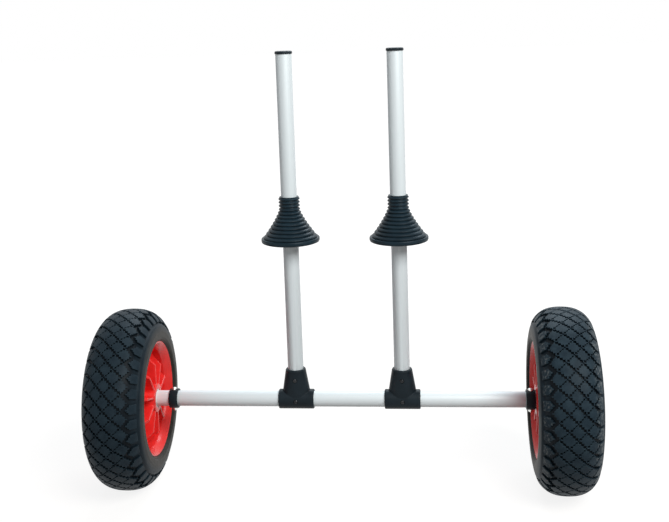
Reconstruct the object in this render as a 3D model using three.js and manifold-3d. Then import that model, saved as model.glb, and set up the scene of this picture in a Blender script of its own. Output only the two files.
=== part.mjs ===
// Kayak cart of the scupper type: two uprights that pass up through the boat's scupper holes, a cross axle,
// ribbed rubber cones that the hull sits on, and a pair of pneumatic wheels that turn and float on the axle.
// Lengths are in millimetres. X runs along the axle, +Y is the way the cart is pulled, +Z is up.

import * as THREE from 'three';
import { mergeVertices } from 'three/addons/utils/BufferGeometryUtils.js';
import Module from 'manifold-3d';

const wasm = await Module();
wasm.setup();

// Tubes
const tubeDiameter = 22;
const tubeWall = 1.5;
const uprightSpacing = 151;
const uprightTop = 490;
const tubeEndRecess = 0.5;

// Gaps between pieces and the overrun of cutting tools
const seatGap = 0.1;
const runningGap = 0.06;
const boltGap = 0.2;
const endGap = 0.3;
const wheelEndGap = 0.5;
const cutOverrun = 2;

// Tees that hold the uprights on the axle
const teeBarrelLength = 50.5;
const teeBarrelDiameter = 27.8;
const teeBarrelChamfer = 1;
const teeRimHeight = 45.5;
const teeRimDiameter = 28.6;
const teeRimChamfer = 1.2;
const teeShoulderHeight = 13;
const teeShoulderWidth = 39;
const teeWaistHeight = 5;
const teeWaistDepth = 25.8;
const teeFloorThickness = 2.4;

// Screws in the tees
const screwHeadDiameter = 5.8;
const screwHeadHeight = 1.7;
const screwShankDiameter = 3.4;
const screwLength = 8;
const screwRecessDepth = 1.3;
const screwRecessClearance = 0.4;
const socketScrewHeight = 31;
const crossSlotWidth = 0.9;
const crossSlotLength = 3.6;
const crossSlotDepth = 0.8;
const headCrownShare = 0.7;

// Caps of the tubes
const capFlangeDiameter = 24;
const capFlangeHeight = 4;
const capBevel = 1.5;
const capPlugLength = 12;
const axlePlugLength = 4;
const axlePlugHeight = 1.7;
const axlePlugBevel = 0.8;

// Stop collars, two to a wheel, each held by a bolt through the axle
const collarLength = 12.5;
const collarDiameter = 28;
const collarChamfer = 0.8;
const collarInnerFace = 247.5;
const collarFlatDepth = 0.5;
const collarFlatWidth = 8.4;
const boltDiameter = 4;
const boltHeadDiameter = 7.6;
const boltHeadHeight = 2.7;
const boltEndBeyondNut = 0.8;
const nutAcrossFlats = 7;
const nutHeight = 3.6;
const nutRingHeight = 1.2;

// Ribbed scupper cones
const coneHeight = 64;
const coneTopHeight = 293.5;
const coneBaseDiameter = 81.5;
const coneNeckDiameter = 29.6;
const coneBaseBand = 6.4;
const coneBaseBevel = 1.6;
const coneGrooveDepth = 1.7;
const coneHollowDiameter = 66;
const coneHollowTopDiameter = 30;
const coneHollowHeight = 20;
const conePinDiameter = 5;
const conePinLength = 29;
const coneRibCount = 12;
const coneNeckRibCount = 3;
const coneFlarePower = 1.3;

// Tyres
const tyreDiameter = 258;
const tyreWidth = 85;
const tyreTreadThickness = 7;
const tyreSideThickness = 4.5;
const tyreLipRise = 6;
const tyreBeadWidth = 11.5;
const tyreSeatGap = 0.25;
const tyreCrownPower = 2.4;
const tyreSideShares = [0, 0.35];
const tyreInsideShares = [0, 0.5, 0.85, 1];

// Tread: bars between slanting grooves. Each pair has a row's share of the crown's rise and its turn in pitches
const treadDepth = 3.2;
const treadGrooveWidth = 4;
const treadRowShares = [[0.62, 1], [0.84, 0.8], [0.96, 0.6], [1, 0]];

// Rims
const rimLipDiameter = 163.6;
const rimWidth = 77;
const rimLipThickness = 1.6;
const rimConeDepth = 9.5;
const rimFlangeWidth = 5.5;
const rimFlangeHeight = 3.4;
const rimBarrelInnerDiameter = 142;
const rimBarrelWall = 4;
const rimSeatSlope = 1.5;
const webThickness = 5;
const hubDiameter = 40;
const hubInboardReach = 38;
const hubOutboardReach = 21;
const hubBoreDiameter = 24.6;
const hubChamfer = 1.2;
const bushDiameter = 27;
const bushLength = 18;
const bushRecess = 0.4;
const ribThickness = 4.2;
const ribSink = 1.5;
const ribCrestInset = 1;
const ribCrestReach = 50;
const ribFootHeight = 14;
const ribCount = 10;
const wheelEndFloat = 18;

// Inner tubes and their valves
const innerTubeGap = 1.2;
const innerTubeWall = 1.8;
const innerTubeFloorWidth = 34;
const innerTubeShares = [0, 0.8];
const valveStemDiameter = 8.5;
const valveFootDiameter = 12;
const valveFootHeight = 1.2;
const valveBoreDiameter = 2.6;
const valveStemReach = 16;
const valveTipDiameter = 5.2;
const valveTipReach = 24;
const valveOffset = 11;
const valveCapDiameter = 8;
const valveCapHeight = 9;
const valveHoleClearance = 0.3;

// Sides of the turned solids
const tubeSides = 32;
const wheelSides = 36;
const collarSides = 24;
const smallSides = 10;
const nutSides = 6;

// Places worked out from the sizes
const tubeRadius = tubeDiameter / 2;
const tubeBoreRadius = tubeRadius - tubeWall;
const boltRadius = boltDiameter / 2;
const tyreRadius = tyreDiameter / 2;
const rimHalfWidth = rimWidth / 2;
const rimLipRadius = rimLipDiameter / 2;
const rimSeatRadius = rimLipRadius - rimFlangeHeight;
const rimSeatEnd = rimHalfWidth - rimFlangeWidth;
const tyreLipRadius = rimLipRadius + tyreSeatGap;
const tyreBeadRadius = rimSeatRadius + tyreSeatGap;
const tyreWidestRadius = tyreLipRadius + tyreLipRise;
const tyreBeadHeel = rimSeatEnd - seatGap;
const tyreBeadToe = tyreBeadHeel - tyreBeadWidth;
const axleHeight = tyreRadius;
const collarOuterFace = collarInnerFace + collarLength;
const wheelInnerPlace = collarOuterFace + wheelEndGap + hubInboardReach;
const wheelOuterPlace = wheelInnerPlace + wheelEndFloat;
const outerCollarFace = wheelOuterPlace + hubOutboardReach + wheelEndGap;
const axleHalfLength = outerCollarFace + collarLength + tubeEndRecess;
const collarFlat = collarDiameter / 2 - collarFlatDepth;
const screwSeat = teeBarrelDiameter / 2 - screwRecessDepth;
const teeSocketFloor = tubeRadius + seatGap + teeFloorThickness;
const uprightFoot = teeSocketFloor + endGap;
const coneBase = coneTopHeight - coneHeight;
const coneSleeveFloor = coneBase + coneHollowHeight;
const conePinHeight = coneSleeveFloor - seatGap - conePinDiameter / 2;
const valveTurn = (3 * Math.PI) / wheelSides;
const leftReach = Math.max(wheelOuterPlace + tyreWidth / 2, axleHalfLength + axlePlugHeight);
const rightReach = Math.max(wheelInnerPlace + tyreWidth / 2, axleHalfLength + axlePlugHeight);
const middleShift = (leftReach - rightReach) / 2;

// Materials
const satinAluminium = { color: 0xc9cdd1, metalness: 0.85, roughness: 0.38 };
const blackPlastic = { color: 0x1b1e21, metalness: 0, roughness: 0.55 };
const blackRubber = { color: 0x1a1f23, metalness: 0, roughness: 0.7 };
const tyreRubber = { color: 0x22282c, metalness: 0, roughness: 0.75 };
const redPlastic = { color: 0xd2201c, metalness: 0, roughness: 0.3 };
const palePlastic = { color: 0xe4e1d8, metalness: 0, roughness: 0.5 };
const platedSteel = { color: 0xc4c4c0, metalness: 1, roughness: 0.3 };
const brassPlate = { color: 0xb99b58, metalness: 1, roughness: 0.35 };

// Solids and booleans

function solid(geometry) {
  const bare = geometry.clone();
  bare.deleteAttribute('normal');
  bare.deleteAttribute('uv');
  const merged = mergeVertices(bare);
  return new wasm.Manifold(new wasm.Mesh({
    numProp: 3,
    vertProperties: Float32Array.from(merged.attributes.position.array),
    triVerts: Uint32Array.from(merged.index.array),
  }));
}

function geometryOf(manifold) {
  const mesh = manifold.getMesh();
  const geometry = new THREE.BufferGeometry();
  geometry.setAttribute('position', new THREE.BufferAttribute(Float32Array.from(mesh.vertProperties), 3));
  geometry.setIndex(new THREE.BufferAttribute(Uint32Array.from(mesh.triVerts), 1));
  geometry.computeVertexNormals();
  return geometry;
}

function joined(geometries) {
  return geometries.map(solid).reduce((whole, more) => whole.add(more));
}

function cut(body, tools) {
  return tools.map(solid).reduce((rest, tool) => rest.subtract(tool), body);
}

function piece(name, shape, look) {
  const geometry = shape instanceof THREE.BufferGeometry ? shape : geometryOf(shape);
  const mesh = new THREE.Mesh(geometry, new THREE.MeshStandardMaterial(look));
  mesh.name = name;
  return mesh;
}

function placed(mesh, x, y, z) {
  mesh.position.set(x, y, z);
  return mesh;
}

// Turned shapes: an outline is a list of [radius, height] pairs that runs up the outside and down the inside

function turned(outline, sides) {
  return new THREE.LatheGeometry(outline.map(([r, h]) => new THREE.Vector2(r, h)), sides);
}

function turnedAlongX(outline, sides) {
  return turned(outline, sides).rotateZ(-Math.PI / 2);
}

function turnedAlongZ(outline, sides) {
  return turned(outline, sides).rotateX(Math.PI / 2);
}

function rodOutline(radius, low, high) {
  return [[0, low], [radius, low], [radius, high], [0, high]];
}

function ringOutline(inner, outer, low, high) {
  return [[inner, low], [outer, low], [outer, high], [inner, high], [inner, low]];
}

function box(width, depth, height, x, y, z) {
  return new THREE.BoxGeometry(width, depth, height).translate(x, y, z);
}

// Axle and uprights

function boltHole() {
  const reach = collarDiameter / 2 + cutOverrun;
  return turnedAlongZ(rodOutline(boltRadius + boltGap, -reach, reach), smallSides);
}

// The hole of a tee screw, through the front wall only
function screwHole() {
  return turned(rodOutline(screwShankDiameter / 2 + boltGap, -tubeDiameter, -tubeBoreRadius / 2), smallSides);
}

function axleTube() {
  const tube = turnedAlongX(ringOutline(tubeBoreRadius, tubeRadius, -axleHalfLength, axleHalfLength), tubeSides);
  const tools = [];
  for (const side of [-1, 1]) {
    for (const face of [collarInnerFace, outerCollarFace]) {
      tools.push(boltHole().translate(side * (face + collarLength / 2), 0, 0));
    }
    tools.push(screwHole().translate(side * uprightSpacing / 2, 0, 0));
  }
  return cut(solid(tube), tools);
}

function uprightTube() {
  const tube = turnedAlongZ(ringOutline(tubeBoreRadius, tubeRadius, uprightFoot, uprightTop), tubeSides);
  const pinHole = turned(rodOutline(conePinDiameter / 2 + seatGap, -tubeDiameter, tubeDiameter), smallSides);
  return cut(solid(tube), [
    pinHole.translate(0, 0, conePinHeight),
    screwHole().translate(0, 0, socketScrewHeight),
  ]);
}

// A plug that fills a tube's end, with its flange on the tube's end face; height 0 is that face
function tubePlug(plugLength, flangeHeight, bevel) {
  const plugRadius = tubeBoreRadius - seatGap;
  const flangeRadius = capFlangeDiameter / 2;
  return turnedAlongZ([
    [0, -plugLength], [plugRadius, -plugLength], [plugRadius, seatGap], [flangeRadius, seatGap],
    [flangeRadius, flangeHeight - bevel], [flangeRadius - bevel, flangeHeight], [0, flangeHeight],
  ], collarSides);
}

// Tees

function ellipseRing(halfWidth, halfDepth, height) {
  const points = [];
  for (let k = 0; k < tubeSides; k += 1) {
    const angle = (2 * Math.PI * k) / tubeSides;
    points.push([halfWidth * Math.sin(angle), -halfDepth * Math.cos(angle), height]);
  }
  return points;
}

// A closed shell through rings of equal point count, each ring counterclockwise seen from above
function loft(rings) {
  const count = rings[0].length;
  const triangles = [];
  for (let i = 0; i + 1 < rings.length; i += 1) {
    for (let k = 0; k < count; k += 1) {
      const next = (k + 1) % count;
      const [low, lowNext] = [i * count + k, i * count + next];
      const [high, highNext] = [low + count, lowNext + count];
      triangles.push(low, lowNext, highNext, low, highNext, high);
    }
  }
  const last = (rings.length - 1) * count;
  for (let k = 1; k + 1 < count; k += 1) {
    triangles.push(0, k + 1, k, last, last + k, last + k + 1);
  }
  const geometry = new THREE.BufferGeometry();
  geometry.setAttribute('position', new THREE.Float32BufferAttribute(rings.flat(2), 3));
  geometry.setIndex(triangles);
  return geometry;
}

// The socket is round at its rim and widens along the axle towards the barrel
function teeSocket() {
  const rim = teeRimDiameter / 2;
  const shoulder = teeShoulderWidth / 2;
  const waist = teeWaistDepth / 2;
  const slopeShare = (teeRimHeight - teeShoulderHeight) / (teeRimHeight - teeWaistHeight);
  return loft([
    ellipseRing(shoulder, waist, 0),
    ellipseRing(shoulder, waist, teeWaistHeight),
    ellipseRing(shoulder, rim + (waist - rim) * slopeShare, teeShoulderHeight),
    ellipseRing(rim, rim, teeRimHeight - teeRimChamfer),
    ellipseRing(rim - teeRimChamfer, rim - teeRimChamfer, teeRimHeight),
  ]);
}

function teeBarrel() {
  const half = teeBarrelLength / 2;
  const radius = teeBarrelDiameter / 2;
  return turnedAlongX([
    [0, -half], [radius - teeBarrelChamfer, -half], [radius, teeBarrelChamfer - half],
    [radius, half - teeBarrelChamfer], [radius - teeBarrelChamfer, half], [0, half],
  ], tubeSides);
}

function screwRecess() {
  return turned(rodOutline(screwHeadDiameter / 2 + screwRecessClearance, -tubeDiameter, -screwSeat), smallSides);
}

function tee() {
  const boreRadius = tubeRadius + seatGap;
  return cut(joined([teeBarrel(), teeSocket()]), [
    turnedAlongX(rodOutline(boreRadius, -teeBarrelLength, teeBarrelLength), tubeSides),
    turnedAlongZ(rodOutline(boreRadius, teeSocketFloor, teeRimHeight + cutOverrun), tubeSides),
    screwRecess(),
    screwHole(),
    screwRecess().translate(0, 0, socketScrewHeight),
    screwHole().translate(0, 0, socketScrewHeight),
  ]);
}

// A cross-head screw that points along +Y, with its head in the tee's recess
function teeScrew() {
  const seat = -screwSeat - seatGap;
  const head = screwHeadDiameter / 2;
  const shank = screwShankDiameter / 2;
  const top = seat - screwHeadHeight;
  const body = turned([
    [0, top], [head * headCrownShare, top], [head, seat - screwHeadHeight / 2],
    [head, seat], [shank, seat], [shank, seat + screwLength], [0, seat + screwLength],
  ], smallSides);
  return cut(solid(body), [
    box(crossSlotLength, 2 * crossSlotDepth, crossSlotWidth, 0, top, 0),
    box(crossSlotWidth, 2 * crossSlotDepth, crossSlotLength, 0, top, 0),
  ]);
}

// Stop collars and their bolts

function stopCollar() {
  const radius = collarDiameter / 2;
  const half = collarLength / 2;
  const ring = turnedAlongX([
    [tubeRadius + seatGap, -half], [radius - collarChamfer, -half], [radius, collarChamfer - half],
    [radius, half - collarChamfer], [radius - collarChamfer, half], [tubeRadius + seatGap, half],
    [tubeRadius + seatGap, -half],
  ], collarSides);
  const flatCut = 2 * collarFlatDepth;
  return cut(solid(ring), [
    boltHole(),
    box(collarFlatWidth, collarDiameter, flatCut, 0, 0, collarFlat + collarFlatDepth),
    box(collarFlatWidth, collarDiameter, flatCut, 0, 0, -collarFlat - collarFlatDepth),
  ]);
}

// A bolt that points down through the collar and the axle
function collarBolt() {
  const seat = collarFlat + seatGap;
  const end = -seat - nutHeight - boltEndBeyondNut;
  const head = boltHeadDiameter / 2;
  const top = seat + boltHeadHeight;
  const body = turnedAlongZ([
    [0, end], [boltRadius, end], [boltRadius, seat], [head, seat],
    [head, seat + boltHeadHeight / 2], [head * headCrownShare, top], [0, top],
  ], smallSides);
  return cut(solid(body), [
    box(crossSlotLength, crossSlotWidth, 2 * crossSlotDepth, 0, 0, top),
    box(crossSlotWidth, crossSlotLength, 2 * crossSlotDepth, 0, 0, top),
  ]);
}

// A hexagon nut with a round locking ring on its far side
function collarNut() {
  const top = -collarFlat - seatGap;
  const low = top - nutHeight;
  const hexagon = turnedAlongZ(rodOutline(nutAcrossFlats / Math.sqrt(3), low + nutRingHeight, top), nutSides);
  const ring = turnedAlongZ(rodOutline(nutAcrossFlats * headCrownShare / 2 + seatGap, low, top), smallSides);
  const hole = turnedAlongZ(rodOutline(boltRadius + seatGap, low - cutOverrun, top + cutOverrun), smallSides);
  return cut(joined([hexagon, ring]), [hole]);
}

// Scupper cones

function coneCrestRadius(rib) {
  const flareShare = Math.max(0, rib - coneNeckRibCount) / (coneRibCount - coneNeckRibCount);
  return (coneNeckDiameter + (coneBaseDiameter - coneNeckDiameter) * flareShare ** coneFlarePower) / 2;
}

function coneRibPoints() {
  const pitch = (coneHeight - coneBaseBand) / coneRibCount;
  const points = [];
  for (let rib = coneRibCount - 1; rib >= 0; rib -= 1) {
    const crest = coneCrestRadius(rib);
    const top = coneTopHeight - pitch * rib;
    points.push([crest - coneGrooveDepth, top - pitch]);
    points.push([crest, top - pitch / 2]);
  }
  return points;
}

function scupperCone() {
  const base = coneBaseDiameter / 2;
  const body = turnedAlongZ([
    [0, coneSleeveFloor], [coneHollowTopDiameter / 2, coneSleeveFloor], [coneHollowDiameter / 2, coneBase],
    [base - coneBaseBevel, coneBase], [base, coneBase + coneBaseBevel], [base, coneBase + coneBaseBand],
    ...coneRibPoints(), [(coneNeckDiameter - coneGrooveDepth) / 2, coneTopHeight], [0, coneTopHeight],
  ], collarSides);
  const bore = turnedAlongZ(rodOutline(
    tubeRadius + runningGap, coneBase, coneTopHeight + cutOverrun), tubeSides);
  return cut(solid(body), [bore]);
}

function conePin() {
  return turned(rodOutline(conePinDiameter / 2, -conePinLength / 2, conePinLength / 2), smallSides);
}

// Tyres

// Points on a rounded flank, from its widest place out to the crown
function flankPoints(halfWidth, rise, shares) {
  return shares.map((share) => [
    tyreWidestRadius + rise * share,
    halfWidth * (1 - share ** tyreCrownPower) ** (1 / tyreCrownPower),
  ]);
}

// Adds the other flank, which is the first one mirrored, to a half outline that ends on the middle plane
function withMirror(half) {
  return half.concat(half.slice(0, -1).map(([r, h]) => [r, -h]).reverse());
}

// The plain rows of the tyre's outside, from the bead's toe up to the tread, on the +X side
function tyreSidePoints() {
  return [
    [tyreBeadRadius, tyreBeadToe], [tyreBeadRadius, tyreBeadHeel], [tyreLipRadius, tyreBeadHeel],
    [tyreLipRadius, rimHalfWidth + seatGap],
    ...flankPoints(tyreWidth / 2, tyreRadius - tyreWidestRadius, tyreSideShares),
  ];
}

// A plain row has one point at each station; its bars start and end there and its grooves have no depth
function plainRow([radius, height], points) {
  const first = points.length;
  for (let k = 0; k < wheelSides; k += 1) {
    points.push(ringPoint(radius, height, k));
  }
  const at = (k) => first + ((k + wheelSides) % wheelSides);
  return { laps: 0, isPlain: true, groove: at, start: at, end: (k) => at(k + 1) };
}

// A tread row has three points at each station: the groove's bottom, and the start and the end of a bar
function treadRow(share, side, turnShare, points) {
  const first = points.length;
  const crownRise = tyreRadius - tyreWidestRadius;
  const [[radius, height]] = flankPoints(tyreWidth / 2, crownRise, [share]);
  const [[bottom, bottomHeight]] = flankPoints(tyreWidth / 2 - treadDepth, crownRise - treadDepth, [share]);
  const gap = treadGrooveWidth / (2 * Math.PI * tyreRadius / wheelSides);
  for (let k = 0; k < wheelSides; k += 1) {
    const station = k + side * turnShare;
    points.push(ringPoint(bottom, side * bottomHeight, station - gap / 2));
    points.push(ringPoint(radius, side * height, station));
    points.push(ringPoint(radius, side * height, station + 1 - gap));
  }
  const at = (k, place) => first + 3 * ((k + wheelSides) % wheelSides) + place;
  const [groove, start, end] = [0, 1, 2].map((place) => (k) => at(k, place));
  return { laps: Math.round(side * turnShare), isPlain: false, groove, start, end };
}

// A point on a ring about the X axis; station 0 is at +Z and the stations run on towards -Y
function ringPoint(radius, height, station) {
  const turn = (2 * Math.PI * station) / wheelSides;
  return [height, -radius * Math.sin(turn), radius * Math.cos(turn)];
}

function pushQuad(triangles, points, [a, b, c, d]) {
  const apart = (i, j) => Math.hypot(...points[i].map((value, axis) => value - points[j][axis]));
  const halves = apart(b, d) < apart(a, c) ? [[a, b, d], [b, c, d]] : [[a, b, c], [a, c, d]];
  for (const half of halves) {
    if (new Set(half).size === half.length) {
      triangles.push(...half);
    }
  }
}

// Skins two rows. A tread row next to a plain one has turned by whole stations, which are counted back here
function pushStrip(triangles, points, row, next) {
  const rowLaps = row.isPlain && !next.isPlain ? next.laps : 0;
  const nextLaps = next.isPlain && !row.isPlain ? row.laps : 0;
  for (let k = 0; k < wheelSides; k += 1) {
    const [i, j] = [k + rowLaps, k + nextLaps];
    pushQuad(triangles, points, [row.groove(i), row.start(i), next.start(j), next.groove(j)]);
    pushQuad(triangles, points, [row.start(i), row.end(i), next.end(j), next.start(j)]);
    pushQuad(triangles, points, [row.end(i), row.groove(i + 1), next.groove(j + 1), next.end(j)]);
  }
}

function tyre() {
  const points = [];
  const half = tyreSidePoints();
  const inside = withMirror(flankPoints(
    tyreWidth / 2 - tyreSideThickness, tyreRadius - tyreWidestRadius - tyreTreadThickness, tyreInsideShares));
  const treadHalf = treadRowShares.map(([share, turnShare]) => treadRow(share, -1, turnShare, points));
  const otherHalf = treadRowShares.slice(0, -1).reverse()
    .map(([share, turnShare]) => treadRow(share, 1, turnShare, points));
  const plain = (outline) => outline.map((point) => plainRow(point, points));
  const rows = [
    ...plain(half.map(([r, h]) => [r, -h])), ...treadHalf, ...otherHalf, ...plain(half.toReversed()),
    ...plain(inside),
  ];
  const triangles = [];
  rows.forEach((row, index) => pushStrip(triangles, points, row, rows[(index + 1) % rows.length]));
  const geometry = new THREE.BufferGeometry();
  geometry.setAttribute('position', new THREE.Float32BufferAttribute(points.flat(), 3));
  geometry.setIndex(triangles);
  return geometry;
}

// Rims: outboard is +X, height 0 is the middle plane of the tyre

function rimOutline() {
  const barrel = rimBarrelInnerDiameter / 2;
  const well = barrel + rimBarrelWall;
  const web = webThickness / 2;
  const hub = hubDiameter / 2;
  const coneEnd = rimHalfWidth - rimConeDepth;
  const seatStart = tyreBeadToe;
  const wellEnd = seatStart - rimSeatSlope;
  const recess = bushDiameter / 2 + runningGap;
  const bore = hubBoreDiameter / 2;
  const recessDepth = bushRecess + bushLength + endGap;
  return [
    [recess, -hubInboardReach], [hub - hubChamfer, -hubInboardReach], [hub, hubChamfer - hubInboardReach],
    [hub, -web], [barrel, -web], [barrel, -coneEnd], [rimLipRadius - rimLipThickness, -rimHalfWidth],
    [rimLipRadius, -rimHalfWidth], [rimLipRadius, -rimSeatEnd], [rimSeatRadius, -rimSeatEnd],
    [rimSeatRadius, -seatStart], [well, -wellEnd], [well, wellEnd], [rimSeatRadius, seatStart],
    [rimSeatRadius, rimSeatEnd], [rimLipRadius, rimSeatEnd], [rimLipRadius, rimHalfWidth],
    [rimLipRadius - rimLipThickness, rimHalfWidth], [barrel, coneEnd], [barrel, web], [hub, web],
    [hub, hubOutboardReach - hubChamfer], [hub - hubChamfer, hubOutboardReach], [recess, hubOutboardReach],
    [recess, hubOutboardReach - recessDepth], [bore, hubOutboardReach - recessDepth],
    [bore, recessDepth - hubInboardReach], [recess, recessDepth - hubInboardReach],
    [recess, -hubInboardReach],
  ];
}

// A rib stands on both sides of the web, from the hub out to the barrel, here towards +Z
function rimRib(turn) {
  const foot = hubDiameter / 2 - ribSink;
  const end = rimBarrelInnerDiameter / 2 + ribSink;
  const inboard = hubInboardReach - ribCrestInset;
  const outboard = hubOutboardReach - ribCrestInset;
  const shape = new THREE.Shape([
    [-inboard, foot], [outboard, foot], [outboard, ribCrestReach], [ribFootHeight, end],
    [-ribFootHeight, end], [-inboard, ribCrestReach],
  ].map(([x, r]) => new THREE.Vector2(x, r)));
  return new THREE.ExtrudeGeometry(shape, { depth: ribThickness, bevelEnabled: false })
    .translate(0, 0, -ribThickness / 2)
    .rotateX(Math.PI / 2 + turn);
}

function rimRibs() {
  return Array.from({ length: ribCount }, (_, k) => rimRib((2 * Math.PI * k) / ribCount));
}

function valveHole() {
  const reach = rimBarrelInnerDiameter / 2 + rimBarrelWall + cutOverrun;
  return turnedAlongZ(rodOutline(valveStemDiameter / 2 + valveHoleClearance, hubDiameter, reach), smallSides)
    .translate(valveOffset, 0, 0)
    .rotateX(valveTurn);
}

function rim() {
  return cut(joined([turnedAlongX(rimOutline(), wheelSides), ...rimRibs()]), [valveHole()]);
}

function hubBush() {
  return turnedAlongX(ringOutline(
    tubeRadius + runningGap, bushDiameter / 2, -bushLength / 2, bushLength / 2), tubeSides);
}

// Inner tubes and valves: a valve is drawn towards +Z, then turned with the wheel

function innerTubeOutline(inset) {
  const floor = tyreBeadRadius + inset;
  const halfWidth = tyreWidth / 2 - tyreSideThickness - innerTubeGap - inset;
  const rise = tyreRadius - tyreWidestRadius - tyreTreadThickness - innerTubeGap - inset;
  const half = [[floor, innerTubeFloorWidth / 2], ...flankPoints(halfWidth, rise, innerTubeShares)];
  const outline = half.concat(half.map(([r, h]) => [r, -h]).reverse()).reverse();
  return [...outline, outline[0]];
}

function valveFootRadius() {
  return tyreBeadRadius * Math.cos(Math.PI / wheelSides) - seatGap;
}

function innerTube() {
  const outside = turnedAlongX(innerTubeOutline(0), wheelSides);
  const inside = turnedAlongX(innerTubeOutline(innerTubeWall), wheelSides);
  const hole = turnedAlongZ(rodOutline(
    valveBoreDiameter / 2, rimBarrelInnerDiameter / 2, rimLipRadius + tyreLipRise), smallSides)
    .translate(valveOffset, 0, 0)
    .rotateX(valveTurn);
  return cut(solid(outside), [inside, hole]);
}

function valveStem() {
  const top = valveFootRadius();
  const bore = valveBoreDiameter / 2;
  const stem = valveStemDiameter / 2;
  const tip = valveTipDiameter / 2;
  const foot = valveFootDiameter / 2;
  return turnedAlongZ([
    [bore, top - valveTipReach], [tip, top - valveTipReach], [tip, top - valveStemReach],
    [stem, top - valveStemReach], [stem, top - valveFootHeight], [foot, top - valveFootHeight],
    [foot, top], [bore, top], [bore, top - valveTipReach],
  ], smallSides).translate(valveOffset, 0, 0).rotateX(valveTurn);
}

function valveCap() {
  const top = valveFootRadius() - valveStemReach - seatGap;
  const low = top - valveCapHeight;
  const hollowEnd = top - (valveTipReach - valveStemReach);
  const outside = valveCapDiameter / 2;
  const inside = valveTipDiameter / 2 + seatGap;
  return turnedAlongZ([
    [0, low], [outside - capBevel / 2, low], [outside, low + capBevel / 2], [outside, top],
    [inside, top], [inside, hollowEnd], [0, hollowEnd],
  ], smallSides).translate(valveOffset, 0, 0).rotateX(valveTurn);
}

// Assemblies

function addUpright(cart, sideName, side) {
  const x = side * uprightSpacing / 2;
  cart.add(placed(piece(`${sideName}_tee`, tee(), blackPlastic), x, 0, 0));
  cart.add(placed(piece(`${sideName}_upright_tube`, uprightTube(), satinAluminium), x, 0, 0));
  const cap = tubePlug(capPlugLength, capFlangeHeight, capBevel);
  cart.add(placed(piece(`${sideName}_upright_cap`, cap, blackPlastic), x, 0, uprightTop));
  cart.add(placed(piece(`${sideName}_axle_screw`, teeScrew(), platedSteel), x, 0, 0));
  cart.add(placed(piece(`${sideName}_upright_screw`, teeScrew(), platedSteel), x, 0, socketScrewHeight));
  cart.add(placed(piece(`${sideName}_scupper_cone`, scupperCone(), blackRubber), x, 0, 0));
  cart.add(placed(piece(`${sideName}_cone_pin`, conePin(), platedSteel), x, 0, conePinHeight));
}

function addCollars(cart, sideName, side) {
  for (const [place, face] of [['inner', collarInnerFace], ['outer', outerCollarFace]]) {
    const x = side * (face + collarLength / 2);
    cart.add(placed(piece(`${sideName}_${place}_collar`, stopCollar(), blackPlastic), x, 0, 0));
    cart.add(placed(piece(`${sideName}_${place}_collar_bolt`, collarBolt(), platedSteel), x, 0, 0));
    cart.add(placed(piece(`${sideName}_${place}_collar_nut`, collarNut(), platedSteel), x, 0, 0));
  }
}

function addAxlePlug(cart, sideName, side) {
  const plug = piece(`${sideName}_axle_plug`, tubePlug(axlePlugLength, axlePlugHeight, axlePlugBevel), blackPlastic);
  plug.rotation.y = side * Math.PI / 2;
  cart.add(placed(plug, side * axleHalfLength, 0, 0));
}

// The wheel is drawn for the right side; on the left it is turned half round about the vertical
function addWheel(cart, sideName, side, place) {
  const bushPlace = bushRecess + bushLength / 2;
  const parts = [
    placed(piece(`${sideName}_rim`, rim(), redPlastic), 0, 0, 0),
    placed(piece(`${sideName}_tyre`, tyre(), tyreRubber), 0, 0, 0),
    placed(piece(`${sideName}_inner_tube`, innerTube(), blackRubber), 0, 0, 0),
    placed(piece(`${sideName}_valve_stem`, valveStem(), brassPlate), 0, 0, 0),
    placed(piece(`${sideName}_valve_cap`, valveCap(), blackPlastic), 0, 0, 0),
    placed(piece(`${sideName}_inner_bush`, hubBush(), palePlastic), bushPlace - hubInboardReach, 0, 0),
    placed(piece(`${sideName}_outer_bush`, hubBush(), palePlastic), hubOutboardReach - bushPlace, 0, 0),
  ];
  const wheel = new THREE.Group();
  wheel.add(...parts);
  wheel.rotation.z = side > 0 ? 0 : Math.PI;
  cart.add(placed(wheel, side * place, 0, 0));
}

function kayakCart() {
  const cart = new THREE.Group();
  cart.name = 'kayak_cart';
  cart.add(piece('axle_tube', axleTube(), satinAluminium));
  for (const [sideName, side] of [['left', -1], ['right', 1]]) {
    addUpright(cart, sideName, side);
    addCollars(cart, sideName, side);
    addAxlePlug(cart, sideName, side);
  }
  addWheel(cart, 'left', -1, wheelOuterPlace);
  addWheel(cart, 'right', 1, wheelInnerPlace);
  cart.position.set(middleShift, 0, axleHeight);
  return cart;
}

export default kayakCart();
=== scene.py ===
# %% [markdown]
# # A kayak cart of the scupper type
# The cart has an aluminium cross axle, two uprights that pass up through a sit-on-top kayak's scupper holes,
# a ribbed rubber cone on each upright for the hull to sit on, and a pneumatic wheel at each end between stop
# collars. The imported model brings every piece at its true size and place. It is the frame of this scene: each
# new piece is built round the same centre lines and then takes the plain piece's place.

# %% Load the frame
import math

import bpy
import numpy as np
from mathutils import Matrix, Vector


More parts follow.
